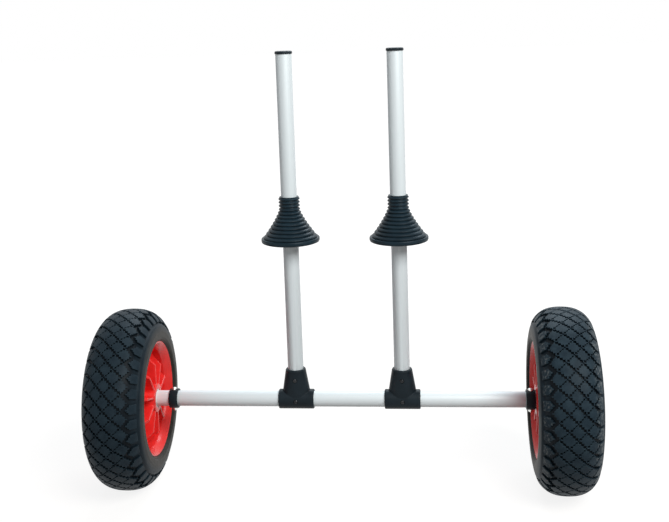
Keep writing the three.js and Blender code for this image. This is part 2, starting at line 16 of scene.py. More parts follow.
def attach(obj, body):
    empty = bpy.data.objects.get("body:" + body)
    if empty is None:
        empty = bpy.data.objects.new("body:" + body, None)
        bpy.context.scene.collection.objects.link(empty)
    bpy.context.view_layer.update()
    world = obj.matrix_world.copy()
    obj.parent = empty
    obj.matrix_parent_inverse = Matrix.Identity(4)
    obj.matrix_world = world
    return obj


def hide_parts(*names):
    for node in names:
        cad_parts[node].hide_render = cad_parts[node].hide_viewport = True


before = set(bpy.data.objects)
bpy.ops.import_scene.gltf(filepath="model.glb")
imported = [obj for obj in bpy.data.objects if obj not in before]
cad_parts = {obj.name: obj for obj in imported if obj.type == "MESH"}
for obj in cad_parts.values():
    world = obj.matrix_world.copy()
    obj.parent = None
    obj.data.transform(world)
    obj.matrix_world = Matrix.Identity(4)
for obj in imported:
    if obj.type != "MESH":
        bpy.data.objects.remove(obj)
bpy.ops.object.select_all(action="DESELECT")
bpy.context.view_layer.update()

# %% [markdown]
# The centre lines come first. X runs along the axle, Z is up and the ground is at zero. The left wheel has
# slid outwards, so the middle between the uprights lies a few millimetres to the right of the whole cart's
# middle. All drawing sizes are in millimetres, and mm turns them into Blender's metres.

# %% Centre lines
mm = 0.001
axle_height = 129
axle_end = 351
middle = 3.15
upright_spacing = 151
wheel_reach = {"left": 316.5, "right": 298.5}
outward = {"left": -1, "right": 1}
upright_x = {side: middle + sign * upright_spacing / 2 for side, sign in outward.items()}
wheel_x = {side: middle + sign * wheel_reach[side] for side, sign in outward.items()}
print("uprights at", upright_x, "wheels at", wheel_x)

# %% [markdown]
# The photograph looks at the cart from the front, a little from the right and from well above the axle. A
# camera is a place and three directions: right, up and back. Here they are worked out from the turn, the tilt
# and the roll. The lens's own centre lies above the picture's, which the shift takes care of.

# %% Camera
picture_width, picture_height = 669, 522
lens_centre_x, lens_centre_y = 328.86, 179.77
focal_pixels = 1024.09
camera_distance, aim_left, aim_height = 1411.15, 19.06, 444.91
yaw, tilt, roll = math.radians(5.913), math.radians(8.804), math.radians(-1.921)
back = Vector((math.sin(yaw) * math.cos(tilt), -math.cos(yaw) * math.cos(tilt), math.sin(tilt)))
level = Vector((math.cos(yaw), math.sin(yaw), 0))
rise = back.cross(level)
right = level * math.cos(roll) + rise * math.sin(roll)
up = rise * math.cos(roll) - level * math.sin(roll)
aim = Vector(((middle - aim_left) * mm, 0, aim_height * mm))
bpy.ops.object.camera_add(location=aim + back * camera_distance * mm)
camera = bpy.context.object
camera.name = "camera"
camera.rotation_euler = Matrix((right, up, back)).transposed().to_euler()
camera.data.sensor_width = 36
camera.data.lens = focal_pixels / picture_width * camera.data.sensor_width
camera.data.shift_x = (picture_width / 2 - lens_centre_x) / picture_width
camera.data.shift_y = (lens_centre_y - picture_height / 2) / picture_width
camera.data.clip_start = 0.05
bpy.context.scene.camera = camera
print("camera at", [round(c, 3) for c in camera.location], "lens", round(camera.data.lens, 1))

# %% [markdown]
# Product photographs like this one are lit by large soft lamps. One big lamp stands high on the right in
# front, a weak one fills from the left, and a strip behind lights the upper edges of the tubes and the tyres.
# Area lamps give soft shadows because light leaves their whole surface.

# %% Lamps


def soft_lamp(name, place, target, size, watts, colour=(1, 1, 1)):
    bpy.ops.object.light_add(type="AREA", location=place)
    lamp = bpy.context.object
    lamp.name = name
    lamp.data.shape = "RECTANGLE"
    lamp.data.size, lamp.data.size_y = size
    lamp.data.energy = watts
    lamp.data.color = colour
    lamp.rotation_euler = (Vector(target) - lamp.location).to_track_quat("-Z", "Y").to_euler()


soft_lamp("key_lamp", (1.3, -1.6, 2.0), (0, 0, 0.25), (1.5, 1.2), 59, (0.96, 1, 1))
soft_lamp("fill_lamp", (-1.7, -1.4, 0.9), (0, 0, 0.25), (1.2, 1.4), 2, (0.93, 0.97, 1))
soft_lamp("edge_lamp", (0.2, 1.5, 1.8), (0, 0, 0.3), (1.6, 0.6), 25, (0.8, 0.92, 1))
bpy.context.scene.view_settings.view_transform = "Standard"

# %% [markdown]
# ## Background and finishes
# The background, the floor and all finishes are made of shader nodes, so the functions that add and join
# nodes come first. A finish starts from one Principled shader. Its grain is noise on Object coordinates, so
# it stays fixed to the piece and has a true size: a scale of 1000 gives grains about a millimetre wide. Noise
# shifts the colour and the roughness a little and lifts the surface through a Bump node.

# %% Helpers for nodes and finishes


def new_finish(name, colour, roughness, metallic=0.0, **sockets):
    finish = bpy.data.materials.new(name)
    finish.use_nodes = True
    shader = finish.node_tree.nodes["Principled BSDF"]
    shader.inputs["Base Color"].default_value = (*colour, 1)
    shader.inputs["Roughness"].default_value = roughness
    shader.inputs["Metallic"].default_value = metallic
    for socket, value in sockets.items():
        shader.inputs[socket.replace("_", " ")].default_value = value
    return finish


def add_node(finish, kind, inputs=None, **settings):
    node = finish.node_tree.nodes.new(kind)
    for key, value in settings.items():
        setattr(node, key, value)
    for key, value in (inputs or {}).items():
        if isinstance(value, bpy.types.NodeSocket):
            finish.node_tree.links.new(value, node.inputs[key])
        else:
            node.inputs[key].default_value = value
    return node


def object_noise(finish, scale, detail=3.0, stretch=(1, 1, 1)):
    place = add_node(finish, "ShaderNodeTexCoord")
    mapping = add_node(finish, "ShaderNodeMapping", {"Vector": place.outputs["Object"], "Scale": stretch})
    noise = add_node(finish, "ShaderNodeTexNoise",
                     {"Vector": mapping.outputs[0], "Scale": scale, "Detail": detail})
    return noise.outputs["Fac"]


def ramp(finish, value, stops):
    node = add_node(finish, "ShaderNodeValToRGB", {"Fac": value})
    points = node.color_ramp.elements
    while len(points) < len(stops):
        points.new(0.5)
    for point, (position, colour) in zip(points, stops):
        point.position = position
        point.color = (*colour, 1)
    return node.outputs["Color"]


def spread(finish, value, low, high):
    node = add_node(finish, "ShaderNodeMapRange", {"Value": value, "To Min": low, "To Max": high})
    return node.outputs["Result"]


def plug_in(finish, socket, value):
    shader = finish.node_tree.nodes["Principled BSDF"]
    finish.node_tree.links.new(value, shader.inputs[socket])


def lift(finish, height, distance, strength=1.0, under=None):
    inputs = {"Height": height, "Distance": distance, "Strength": strength}
    if under is not None:
        inputs["Normal"] = under
    bump = add_node(finish, "ShaderNodeBump", inputs)
    plug_in(finish, "Normal", bump.outputs["Normal"])
    return bump.outputs["Normal"]


print("node helpers ready")

# %% [markdown]
# The background is white where the camera, a mirror-like surface or clear glass looks at it, and a dim
# grey-blue where it only lights the scene. The Light Path node tells those rays apart. The floor is a grey
# diffuse sheet that adds a glow of its own to those direct rays. The glow rises with the distance from the
# cart, so that the floor meets the background without a line and still shows the cart's soft shadow.

# %% Background and floor


def seen_directly(owner):
    """1 for camera, glossy and transmission rays, 0 for light that only bounces."""
    path = add_node(owner, "ShaderNodeLightPath")
    seen = path.outputs["Is Camera Ray"]
    for kind in ("Is Glossy Ray", "Is Transmission Ray"):
        either = add_node(owner, "ShaderNodeMath", {0: seen, 1: path.outputs[kind]}, operation="MAXIMUM")
        seen = either.outputs[0]
    return seen


world = bpy.data.worlds.new("studio")
bpy.context.scene.world = world
world.use_nodes = True
lighting = world.node_tree.nodes["Background"]
lighting.inputs["Color"].default_value = (0.86, 0.93, 1.0, 1)
lighting.inputs["Strength"].default_value = 0.21
backdrop = add_node(world, "ShaderNodeBackground", {"Color": (1, 1, 1, 1), "Strength": 1.0})
choice = add_node(world, "ShaderNodeMixShader",
                  {"Fac": seen_directly(world), 1: lighting.outputs[0], 2: backdrop.outputs[0]})
world.node_tree.links.new(choice.outputs[0], world.node_tree.nodes["World Output"].inputs["Surface"])

bpy.ops.mesh.primitive_plane_add(size=40, location=(0, 0, -0.0004))
floor = bpy.context.object
floor.name = "floor"
paper = new_finish("pale_floor", (0.24, 0.22, 0.205), 0.9, Specular_IOR_Level=0.0)
place = add_node(paper, "ShaderNodeTexCoord")
away = add_node(paper, "ShaderNodeVectorMath", {0: place.outputs["Object"]}, operation="LENGTH")
growth = add_node(paper, "ShaderNodeMapRange", {"Value": away.outputs["Value"], "From Min": 0.5,
                                                "From Max": 1.6, "To Min": 0.86, "To Max": 1.0})
strength = add_node(paper, "ShaderNodeMath", {0: seen_directly(paper), 1: growth.outputs["Result"]},
                    operation="MULTIPLY")
glow = add_node(paper, "ShaderNodeEmission", {"Color": (1, 1, 1, 1), "Strength": strength.outputs[0]})
diffuse = paper.node_tree.nodes["Principled BSDF"]
both = add_node(paper, "ShaderNodeAddShader", {0: diffuse.outputs[0], 1: glow.outputs[0]})
paper.node_tree.links.new(both.outputs[0], paper.node_tree.nodes["Material Output"].inputs["Surface"])
floor.data.materials.append(paper)
print("floor and backdrop ready")

# %% [markdown]
# The tubes are drawn aluminium with a satin anodised skin. Drawing leaves faint lines along the tube, so the
# noise is stretched hard along its axis. The axle and the uprights run different ways and need a finish each.
# The axle's colours are also lighter than the uprights', as painted light for the light that falls on its top.

# %% Aluminium


def drawn_aluminium(name, stretch, dark, light):
    finish = new_finish(name, (0.84, 0.87, 0.88), 0.45, metallic=0.08, Specular_IOR_Level=0.2)
    lines = object_noise(finish, 1.0, 4.0, stretch)
    cloud = object_noise(finish, 24.0, 3.0)
    plug_in(finish, "Base Color", ramp(finish, lines, [(0.25, dark), (0.75, light)]))
    plug_in(finish, "Roughness", spread(finish, cloud, 0.42, 0.54))
    lift(finish, lines, 0.00003, 0.4)
    return finish


lengthwise, crosswise = 6, 1400
# The axle's lighter colours are painted light: the same tube, made lighter for the light on its top.
axle_aluminium_painted_lighter = drawn_aluminium("axle_aluminium_painted_lighter", (lengthwise, crosswise, crosswise),
                                 (0.86, 0.9, 0.91), (0.93, 0.965, 0.975))
upright_aluminium = drawn_aluminium("upright_aluminium", (crosswise, crosswise, lengthwise),
                                    (0.79, 0.835, 0.845), (0.88, 0.915, 0.925))
print(axle_aluminium_painted_lighter.name, upright_aluminium.name)

# %% [markdown]
# The tees, collars and caps are moulded in black plastic with a fine spark-eroded grain. The hub bushes are a
# pale, waxy plastic. Bolts and nuts are zinc plated, the small screws in the tees are dark steel, and the
# valve stems are dull brass. The black plastic mirrors little of its white surroundings, so its specular
# level is low.

# %% Plastics and plated metal


def moulded(name, dark, light, roughness, gloss=0.16, grain=900.0, depth=0.00004):
    finish = new_finish(name, dark, roughness, Specular_IOR_Level=gloss)
    skin = object_noise(finish, grain, 2.0)
    cloud = object_noise(finish, 45.0, 3.0)
    plug_in(finish, "Base Color", ramp(finish, cloud, [(0.3, dark), (0.75, light)]))
    plug_in(finish, "Roughness", spread(finish, cloud, roughness - 0.06, roughness + 0.08))
    lift(finish, skin, depth, 0.7)
    return finish


def plated(name, dark, light, roughness):
    finish = new_finish(name, light, roughness, metallic=1.0)
    cloud = object_noise(finish, 320.0, 3.0)
    plug_in(finish, "Base Color", ramp(finish, cloud, [(0.3, dark), (0.7, light)]))
    plug_in(finish, "Roughness", spread(finish, cloud, roughness - 0.05, roughness + 0.12))
    lift(finish, cloud, 0.00003, 0.5)
    return finish


black_plastic = moulded("black_plastic", (0.008, 0.013, 0.017), (0.017, 0.026, 0.033), 0.4, 0.12)
bush_plastic = moulded("bush_plastic", (0.62, 0.55, 0.5), (0.76, 0.7, 0.66), 0.45, 0.4)
zinc = plated("zinc_plate", (0.62, 0.62, 0.6), (0.84, 0.84, 0.82), 0.24)
dark_steel = plated("dark_screw_steel", (0.02, 0.021, 0.023), (0.055, 0.057, 0.06), 0.15)
brass = plated("dull_brass", (0.42, 0.32, 0.13), (0.62, 0.5, 0.24), 0.34)
print(black_plastic.name, bush_plastic.name, zinc.name, dark_steel.name, brass.name)

# %% [markdown]
# The rims are glossy red plastic. A moulded face is never quite flat, so a slow, shallow noise bends the
# reflections a little.

# %% Red rim plastic
rim_red = new_finish("rim_red", (0.9, 0.034, 0.028), 0.36, Specular_IOR_Level=0.25)
slow = object_noise(rim_red, 60.0, 2.0)
fine = object_noise(rim_red, 1100.0, 2.0)
plug_in(rim_red, "Base Color", ramp(rim_red, slow, [(0.3, (0.88, 0.026, 0.023)), (0.7, (0.99, 0.04, 0.034))]))
plug_in(rim_red, "Roughness", spread(rim_red, fine, 0.2, 0.3))
lift(rim_red, fine, 0.00002, 0.4, under=lift(rim_red, slow, 0.0004, 0.35))
print(rim_red.name)

# %% [markdown]
# Two black rubbers: the cones' is satin with a soft sheen on every rib, and the tyre's is matt. The tyre's
# block tops are greyer where they have been scuffed, the grooves between them are painted dark as painted
# shade, the right tyre's lugs are a little dusty, and the sidewall next to the rim has a brownish bloom. The
# blocks carry two attributes: the first goes from 0 in a groove, where the shade is painted, to 1 on a
# scuffed top, and dust is 1 on the tops of the lugs. The bloom follows the distance from the axle. A third
# rubber, plain and dull, is for the inner tubes.

# %% Rubbers


def distance_from_axle(finish):
    place = add_node(finish, "ShaderNodeTexCoord")
    flat = add_node(finish, "ShaderNodeVectorMath", {0: place.outputs["Object"], 1: (0, 1, 1)},
                    operation="MULTIPLY")
    moved = add_node(finish, "ShaderNodeVectorMath", {0: flat.outputs[0], 1: (0, 0, -axle_height * mm)},
                     operation="ADD")
    length = add_node(finish, "ShaderNodeVectorMath", {0: moved.outputs[0]}, operation="LENGTH")
    return length.outputs["Value"]


def mix(finish, factor, first, second):
    """Goes from the first colour to the second one as the factor goes from 0 to 1."""
    node = add_node(finish, "ShaderNodeMix", {0: factor, 6: first, 7: second}, data_type="RGBA")
    return node.outputs[2]


cone_rubber = moulded("cone_rubber", (0.006, 0.016, 0.024), (0.015, 0.033, 0.046), 0.36, 0.13, 700.0, 0.00005)
tube_rubber = moulded("inner_tube_rubber", (0.01, 0.01, 0.01), (0.02, 0.02, 0.02), 0.6)

tyre_rubber = new_finish("tyre_rubber", (0.015, 0.02, 0.025), 0.5, Specular_IOR_Level=0.1)
scuff_and_groove_shade = add_node(tyre_rubber, "ShaderNodeAttribute", attribute_name="scuff_and_groove_shade").outputs["Fac"]
patches = object_noise(tyre_rubber, 90.0, 4.0)
grit = object_noise(tyre_rubber, 1300.0, 3.0)
top_grey = ramp(tyre_rubber, patches, [(0.3, (0.01, 0.02, 0.029)), (0.7, (0.023, 0.04, 0.053))])
# The groove colour is painted shade: the grooves get a darker colour for the shade that falls in them.
undusted_tread_with_groove_shade = mix(tyre_rubber, scuff_and_groove_shade, (0.004, 0.007, 0.01, 1), top_grey)
dust = add_node(tyre_rubber, "ShaderNodeAttribute", attribute_name="dust").outputs["Fac"]
specks = add_node(tyre_rubber, "ShaderNodeMapRange",
                  {"Value": object_noise(tyre_rubber, 280.0, 4.0), "From Min": 0.48, "From Max": 0.66})
dusty = add_node(tyre_rubber, "ShaderNodeMath", {0: dust, 1: specks.outputs["Result"]}, operation="MULTIPLY")
tread_colour = mix(tyre_rubber, dusty.outputs[0], undusted_tread_with_groove_shade, (0.12, 0.135, 0.14, 1))
bloom_edge, bloom_end = 94, 103
near_rim = add_node(tyre_rubber, "ShaderNodeMapRange",
                    {"Value": distance_from_axle(tyre_rubber), "From Min": bloom_edge * mm,
                     "From Max": bloom_end * mm, "To Min": 1.0, "To Max": 0.0})
bloom = ramp(tyre_rubber, patches, [(0.3, (0.02, 0.019, 0.017)), (0.75, (0.046, 0.042, 0.036))])
plug_in(tyre_rubber, "Base Color", mix(tyre_rubber, near_rim.outputs["Result"], tread_colour, bloom))
plug_in(tyre_rubber, "Roughness", spread(tyre_rubber, grit, 0.4, 0.56))
lift(tyre_rubber, grit, 0.00008, 0.6)
print(cone_rubber.name, tyre_rubber.name, tube_rubber.name)

# %% [markdown]
# ## Turned pieces
# Most of the cart is round: tubes, caps, collars, cones, hubs and tyres. Such a piece is drawn as the outline
# of half its section and spun about its axis, as on a lathe. The outline is a circle primitive whose points
# are put where the drawing says, so the Spin operator has a closed loop to turn. Points on the axis are
# merged after the spin, which also removes the empty faces there.

# %% Spin an outline
merge_distance = 0.004 * mm


def spun(name, outline, axis, centre, steps=64, edge=0.0, segments=2):
    """outline: [radius, height] pairs in mm. axis is X, Y or Z, and centre is where height 0 lies."""
    bpy.ops.object.select_all(action="DESELECT")
    bpy.ops.mesh.primitive_circle_add(vertices=len(outline), radius=0.01)
    piece = bpy.context.object
    piece.name = piece.data.name = name
    along = {"X": Vector((1, 0, 0)), "Y": Vector((0, 1, 0)), "Z": Vector((0, 0, 1))}[axis]
    out = Vector((0, 0, 1)) if axis != "Z" else Vector((0, -1, 0))
    centre = Vector(centre) * mm
    for vertex, (radius, height) in zip(piece.data.vertices, outline):
        vertex.co = centre + out * radius * mm + along * height * mm
    bpy.ops.object.mode_set(mode="EDIT")
    bpy.ops.mesh.select_all(action="SELECT")
    bpy.ops.mesh.spin(steps=steps, angle=2 * math.pi, center=centre, axis=along)
    bpy.ops.mesh.select_all(action="SELECT")
    bpy.ops.mesh.remove_doubles(threshold=merge_distance)
    bpy.ops.mesh.normals_make_consistent(inside=False)
    bpy.ops.object.mode_set(mode="OBJECT")
    if edge:
        rounded(piece, edge, segments)
    return piece


def rounded(piece, width, segments):
    """Rounds the piece's sharp edges by width, in mm."""
    bevel = piece.modifiers.new("rounding", "BEVEL")
    bevel.width = width * mm
    bevel.segments = segments
    bevel.limit_method = "ANGLE"
    bevel.angle_limit = math.radians(30)
    bpy.context.view_layer.objects.active = piece
    bpy.ops.object.modifier_apply(modifier=bevel.name)


def carve(piece, cutter, operation="DIFFERENCE"):
    """Takes the cutter out of the piece, or joins it on with UNION, and removes the cutter."""
    boolean = piece.modifiers.new("carving", "BOOLEAN")
    boolean.operation = operation
    boolean.object = cutter
    boolean.solver = "EXACT"
    bpy.context.view_layer.objects.active = piece
    bpy.ops.object.modifier_apply(modifier=boolean.name)
    bpy.data.objects.remove(cutter, do_unlink=True)


def rod(radius, low, high):
    return [(0, low), (radius, low), (radius, high), (0, high)]


def ring(inner, outer, low, high):
    return [(inner, low), (outer, low), (outer, high), (inner, high)]


def drill(piece, radius, low, high, axis, centre, steps=24):
    carve(piece, spun("drill", rod(radius, low, high), axis, centre, steps))


def fit(piece, body, slot, finish, node, angle=35):
    """Gives a finished piece its finish and its body, and puts it in the plain node's place."""
    bpy.ops.object.select_all(action="DESELECT")
    piece.select_set(True)
    bpy.context.view_layer.objects.active = piece
    bpy.ops.object.transform_apply(location=True, rotation=True, scale=True)
    bpy.ops.object.shade_smooth_by_angle(angle=math.radians(angle))
    piece.data.materials.clear()
    piece.data.materials.append(finish)
    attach(piece, body)
    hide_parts(node)
    print(piece.name, "faces", len(piece.data.polygons))


def twin(piece, name, shift):
    """A copy with its own mesh, moved by shift, in mm."""
    copy = piece.copy()
    copy.data = piece.data.copy()
    copy.name = copy.data.name = name
    bpy.context.collection.objects.link(copy)
    copy.data.transform(Matrix.Translation(Vector(shift) * mm))
    return copy


def join_into(target, others):
    """Joins the other pieces into the target, which keeps its name."""
    bpy.ops.object.select_all(action="DESELECT")
    for piece in (target, *others):
        piece.select_set(True)
    bpy.context.view_layer.objects.active = target
    bpy.ops.object.join()


print("turning helpers ready")

# %% [markdown]
# The axle is one length of tube, 22 mm across with a 1.5 mm wall. Its cut ends have a small burr-free edge,
# and it is drilled for the collar bolts and the tee screws. An upright is the same tube, drilled for its
# screw and for the pin that carries the cone. A screw hole goes through the front wall only, and the others
# right through.

# %% Axle tube
tube_bore, tube_radius, cut_edge = 9.5, 11, 0.3
bolt_hole, screw_hole, pin_hole = 2.2, 1.9, 2.6
past_tube, past_wall = 13, -5
screw_heights = {"axle": 0, "upright": 31}
collar_reach = {"inner": 253.75, "outer": 344.25}
axle_ring = ring(tube_bore, tube_radius, -axle_end, axle_end)
axle = spun("axle", axle_ring, "X", (middle, 0, axle_height), 96, cut_edge)
for sign in outward.values():
    for reach in collar_reach.values():
        drill(axle, bolt_hole, -past_tube, past_tube, "Z", (middle + sign * reach, 0, axle_height))
for x in upright_x.values():
    drill(axle, screw_hole, -past_tube, past_wall, "Y", (x, 0, axle_height))
fit(axle, "frame", "tube", axle_aluminium_painted_lighter, "axle_tube")

# %% Upright tubes
pin_z = axle_height + 246.9
foot_z, top_z = axle_height + 13.8, axle_height + 490
to_right_side = (upright_x["right"] - upright_x["left"], 0, 0)
x = upright_x["left"]
first = spun("left_upright", ring(tube_bore, tube_radius, foot_z, top_z), "Z", (x, 0, 0), 96, cut_edge)
drill(first, pin_hole, -past_tube, past_tube, "Y", (x, 0, pin_z))
drill(first, screw_hole, -past_tube, past_wall, "Y", (x, 0, axle_height + screw_heights["upright"]))
second = twin(first, "right_upright", to_right_side)
fit(first, "frame", "tube", upright_aluminium, "left_upright_tube")
fit(second, "frame", "tube", upright_aluminium, "right_upright_tube")

# %% [markdown]
# Each upright is closed by a moulded cap with a flat top and rounded shoulders, and each end of the axle by a
# thin plug. A pin under each cone goes right through the upright.

# %% Caps, plugs and cone pins
plug_radius, flange_radius, flange_foot = 9.4, 12, 0.1
cap_outline = [(0, -12), (plug_radius, -12), (plug_radius, flange_foot), (flange_radius, flange_foot),
               (flange_radius, 2.4), (11.6, 3.3), (10.7, 3.85), (9.6, 4.0), (0, 4.0)]
plug_outline = [(0, -4), (plug_radius, -4), (plug_radius, flange_foot), (flange_radius, flange_foot),
                (flange_radius, 0.9), (11.7, 1.4), (11.2, 1.7), (0, 1.7)]
pin_radius, pin_reach = 2.5, 14.5
for side, x in upright_x.items():
    cap = spun(side + "_cap", cap_outline, "Z", (x, 0, top_z), 64, 0.25)
    fit(cap, "frame", "black_plastic", black_plastic, side + "_upright_cap")
    pin = spun(side + "_pin", rod(pin_radius, -pin_reach, pin_reach), "Y", (x, 0, pin_z), 32, 0.4)
    fit(pin, "frame", "hardware", zinc, side + "_cone_pin")
    mirrored = [(radius, outward[side] * height) for radius, height in plug_outline]
    axle_mouth = (middle + outward[side] * axle_end, 0, axle_height)
    plug = spun(side + "_plug", mirrored, "X", axle_mouth, 64, 0.15)
    fit(plug, "frame", "black_plastic", black_plastic, side + "_axle_plug")

# %% [markdown]
# ## Cones
# A scupper cone is one rubber moulding: a stack of rounded ribs that widens from the neck to a broad base
# rim, hollow underneath, with a sleeve that slides on the upright. The ribs follow one formula, so a loop
# builds the outline: each rib adds a groove, two shoulders and a crest, drawn as shares of its height and
# insets from its crest.

# %% Scupper cones
cone_top, cone_height, base_band = axle_height + 293.5, 64, 6.4
neck_radius, base_radius, cone_ribs, neck_ribs = 14.8, 40.75, 12, 3
rib_pitch = (cone_height - base_band) / cone_ribs
sleeve_bore = 11.06
rib_shape = [(0.0, 2.2), (0.12, 2.1), (0.18, 0.8), (0.25, 0.2), (0.35, 0.0), (0.47, 0.12), (0.6, 0.6),
             (0.8, 1.5)]


def crest_radius(rib):
    share = max(0, rib - neck_ribs) / (cone_ribs - neck_ribs)
    return neck_radius + (base_radius - neck_radius) * share ** 1.3


def cone_outline():
    base = cone_top - cone_height
    points = [(sleeve_bore, cone_top), (sleeve_bore, base + 20), (15, base + 20), (24, base + 12),
              (31.5, base + 4), (33, base)]
    points += [(38.4, base), (40.1, base + 0.7), (base_radius, base + 2.2),
               (base_radius, base + base_band - 1.2), (40.2, base + base_band - 0.3)]
    for rib in reversed(range(cone_ribs)):
        top, low = crest_radius(rib), cone_top - rib_pitch * (rib + 1)
        slant = (crest_radius(rib + 1) - top) * 0.5
        for share, inset in rib_shape:
            points.append((top - inset + slant * (0.5 - share), low + rib_pitch * share))
    points += [(neck_radius - 1.2, cone_top - 0.2), (neck_radius - 1.6, cone_top)]
    return points


first = spun("left_cone", cone_outline(), "Z", (upright_x["left"], 0, 0), 96)
second = twin(first, "right_cone", to_right_side)
fit(first, "left_cone", "cone_rubber", cone_rubber, "left_scupper_cone", angle=50)
fit(second, "right_cone", "cone_rubber", cone_rubber, "right_scupper_cone", angle=50)

# %% [markdown]
# ## Tees
# A tee is one black moulding that joins an upright to the axle. Its barrel wraps the axle, and its oval
# socket narrows into a round rim about the upright. Moulded parts have a soft fillet wherever two forms meet,
# so the barrel and the socket are joined, skinned again with small even faces and smoothed. The bores and the
# screw recesses are cut after that, to keep them crisp.

# %% Loft through sections


def lofted(name, rings):
    """Skins a row of closed sections and closes both ends. All have the same count of points, in mm."""
    around = len(rings[0])
    bpy.ops.object.select_all(action="DESELECT")
    bpy.ops.mesh.primitive_grid_add(x_subdivisions=around, y_subdivisions=len(rings) - 1, size=0.01)
    piece = bpy.context.object
    piece.name = piece.data.name = name
    for row, points in enumerate(rings):
        for column in range(around + 1):
            piece.data.vertices[row * (around + 1) + column].co = Vector(points[column % around]) * mm
    bpy.ops.object.mode_set(mode="EDIT")
    bpy.ops.mesh.select_all(action="SELECT")
    bpy.ops.mesh.remove_doubles(threshold=merge_distance)
    bpy.ops.mesh.fill_holes(sides=0)
    bpy.ops.mesh.select_all(action="SELECT")
    bpy.ops.mesh.normals_make_consistent(inside=False)
    bpy.ops.object.mode_set(mode="OBJECT")
    return piece


def oval(half_width, half_depth, centre_x, height, count=64):
    turns = [2 * math.pi * k / count for k in range(count)]
    level = axle_height + height
    return [(centre_x + half_width * math.cos(t), half_depth * math.sin(t), level) for t in turns]


def soften(piece, voxel, passes):
    """Skins the piece again with even faces and smooths them, which leaves small fillets."""
    bpy.context.view_layer.objects.active = piece
    piece.data.remesh_voxel_size = voxel * mm
    bpy.ops.object.voxel_remesh()
    smoothing = piece.modifiers.new("smoothing", "SMOOTH")
    smoothing.factor = 0.5
    smoothing.iterations = passes
    bpy.ops.object.modifier_apply(modifier=smoothing.name)


print("lofting helpers ready")

# %% Left tee and its copy
socket_sections = [(19.5, 12.9, 0), (19.5, 12.9, 5), (19.5, 13.2, 13), (17.0, 13.65, 28), (14.3, 14.3, 44.3),
                   (13.1, 13.1, 45.5)]
barrel_radius, barrel_half, barrel_edge = 13.9, 25.25, 1
snug_bore, socket_floor, recess_radius, recess_floor = 11.1, 13.5, 3.3, -12.6
clear_of_barrel, clear_of_socket, clear_of_front = 40, 60, -22
x = upright_x["left"]
centre = (x, 0, axle_height)
tee = lofted("left_tee_body", [oval(width, depth, x, height) for width, depth, height in socket_sections])
barrel_outline = [(0, -barrel_half), (barrel_radius - barrel_edge, -barrel_half),
                  (barrel_radius, barrel_edge - barrel_half), (barrel_radius, barrel_half - barrel_edge),
                  (barrel_radius - barrel_edge, barrel_half), (0, barrel_half)]
carve(tee, spun("barrel", barrel_outline, "X", centre, 64), "UNION")
soften(tee, 0.55, 5)
drill(tee, snug_bore, -clear_of_barrel, clear_of_barrel, "X", centre)
drill(tee, snug_bore, socket_floor, clear_of_socket, "Z", centre, 64)
for height in screw_heights.values():
    drill(tee, recess_radius, clear_of_front, recess_floor, "Y", (x, 0, axle_height + height))
    drill(tee, screw_hole, clear_of_front, past_wall, "Y", (x, 0, axle_height + height))
other = twin(tee, "right_tee_body", to_right_side)
fit(tee, "frame", "black_plastic", black_plastic, "left_tee", angle=30)
fit(other, "frame", "black_plastic", black_plastic, "right_tee", angle=30)

# %% [markdown]
# ## Screws, bolts and nuts
# Two small cross-head screws pin every tee to its tubes, and a bolt with a lock nut clamps each stop collar.
# The heads are crowned, so their outline bends over in a few steps, and the cross is cut by two thin bars.

# %% Cross-head screws
cross_length, cross_width, cross_depth = 3.6, 0.9, 1.6


def bar(name, size, place):
    bpy.ops.mesh.primitive_cube_add(size=1, location=Vector(place) * mm)
    block = bpy.context.object
    block.name = name
    block.scale = Vector(size) * mm
    bpy.ops.object.transform_apply(location=False, rotation=False, scale=True)
    return block


def cross_cut(piece, top, axis):
    """Cuts a cross into a head whose top lies at the point top and faces along the axis."""
    for length, width in ((cross_length, cross_width), (cross_width, cross_length)):
        size = (length, cross_depth, width) if axis == "Y" else (length, width, cross_depth)
        carve(piece, bar("cross", size, top))


head_top, head_foot, head_radius, shank_radius, shank_end = -14.5, -12.8, 2.9, 1.7, -4.8
screw_outline = [(0, head_top), (1.2, -14.45), (2.1, -14.2), (2.7, -13.7), (head_radius, -13.2),
                 (head_radius, head_foot), (shank_radius, head_foot), (shank_radius, -5.3), (1.2, shank_end),
                 (0, shank_end)]
for side, x in upright_x.items():
    for kind, height in screw_heights.items():
        screw = spun(side + "_" + kind + "_pan_screw", screw_outline, "Y", (x, 0, axle_height + height), 40)
        cross_cut(screw, (x, head_top, axle_height + height), "Y")
        fit(screw, "frame", "hardware", dark_steel, side + "_" + kind + "_screw")

# %% [markdown]
# A stop collar is a short black ring on the axle, with a small flat on top for the bolt head and one below
# for the nut. The cart has one on each side of each wheel, all alike, so a loop makes all four.

